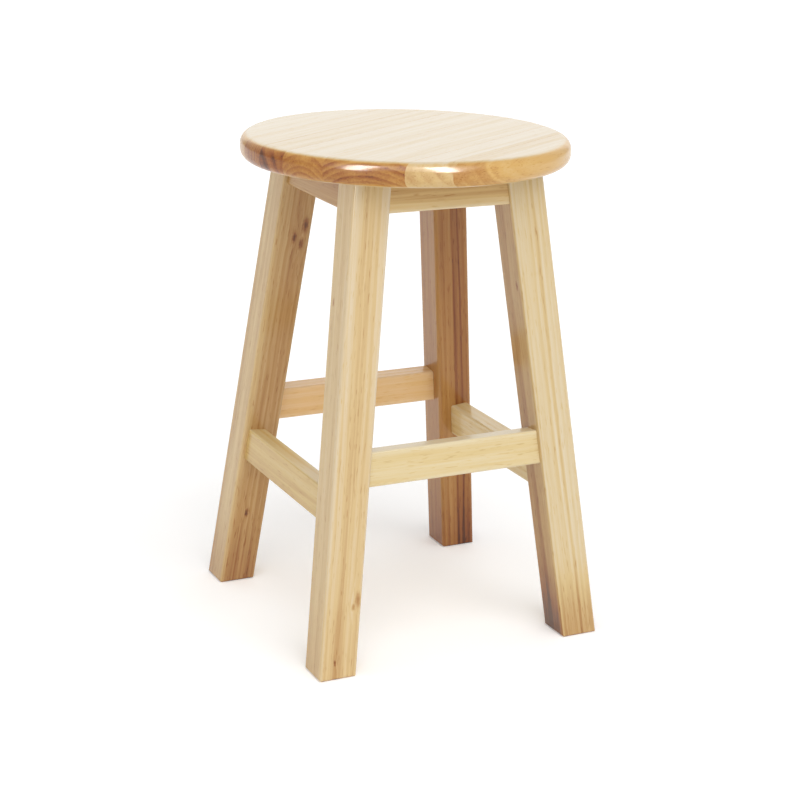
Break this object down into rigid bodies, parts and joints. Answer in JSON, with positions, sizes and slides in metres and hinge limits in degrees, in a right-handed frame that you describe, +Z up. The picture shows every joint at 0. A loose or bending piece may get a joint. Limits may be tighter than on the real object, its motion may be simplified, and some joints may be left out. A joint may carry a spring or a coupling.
{
  "type": "low stool with footrest",
  "caption": "Low round wooden stool with splayed square legs under a solid disc seat, braced by aprons and by a ring of stretchers that serves as a footrest.",
  "frame": {"origin": "on the floor, under the centre of the seat", "axes": "+Z up, front towards -Y, +X to the right of a person who looks at the front"},
  "size_m": [0.295, 0.295, 0.45],
  "materials": {
    "seat_wood": "pale edge-glued hardwood staves under clear satin lacquer",
    "leg_wood": "honey-coloured hardwood under clear satin lacquer",
    "rail_wood": "honey-coloured hardwood under clear satin lacquer",
    "block_wood": "sawn hardwood with no lacquer",
    "screw_zinc": "zinc-plated steel"
  },
  "bodies": {
    "root": {"seat_stave_1": "seat_wood", "seat_stave_2": "seat_wood", "seat_stave_3": "seat_wood", "seat_stave_4": "seat_wood", "seat_stave_5": "seat_wood", "seat_stave_6": "seat_wood", "seat_stave_7": "seat_wood", "leg_front_left": "leg_wood", "leg_front_right": "leg_wood", "leg_back_right": "leg_wood", "leg_back_left": "leg_wood", "apron_front": "rail_wood", "apron_right": "rail_wood", "apron_back": "rail_wood", "apron_left": "rail_wood", "stretcher_front": "rail_wood", "stretcher_right": "rail_wood", "stretcher_back": "rail_wood", "stretcher_left": "rail_wood", "corner_block_front_left": "block_wood", "corner_block_front_right": "block_wood", "corner_block_back_right": "block_wood", "corner_block_back_left": "block_wood", "seat_screws": "screw_zinc", "block_screws": "screw_zinc"}
  },
  "joints": []
}
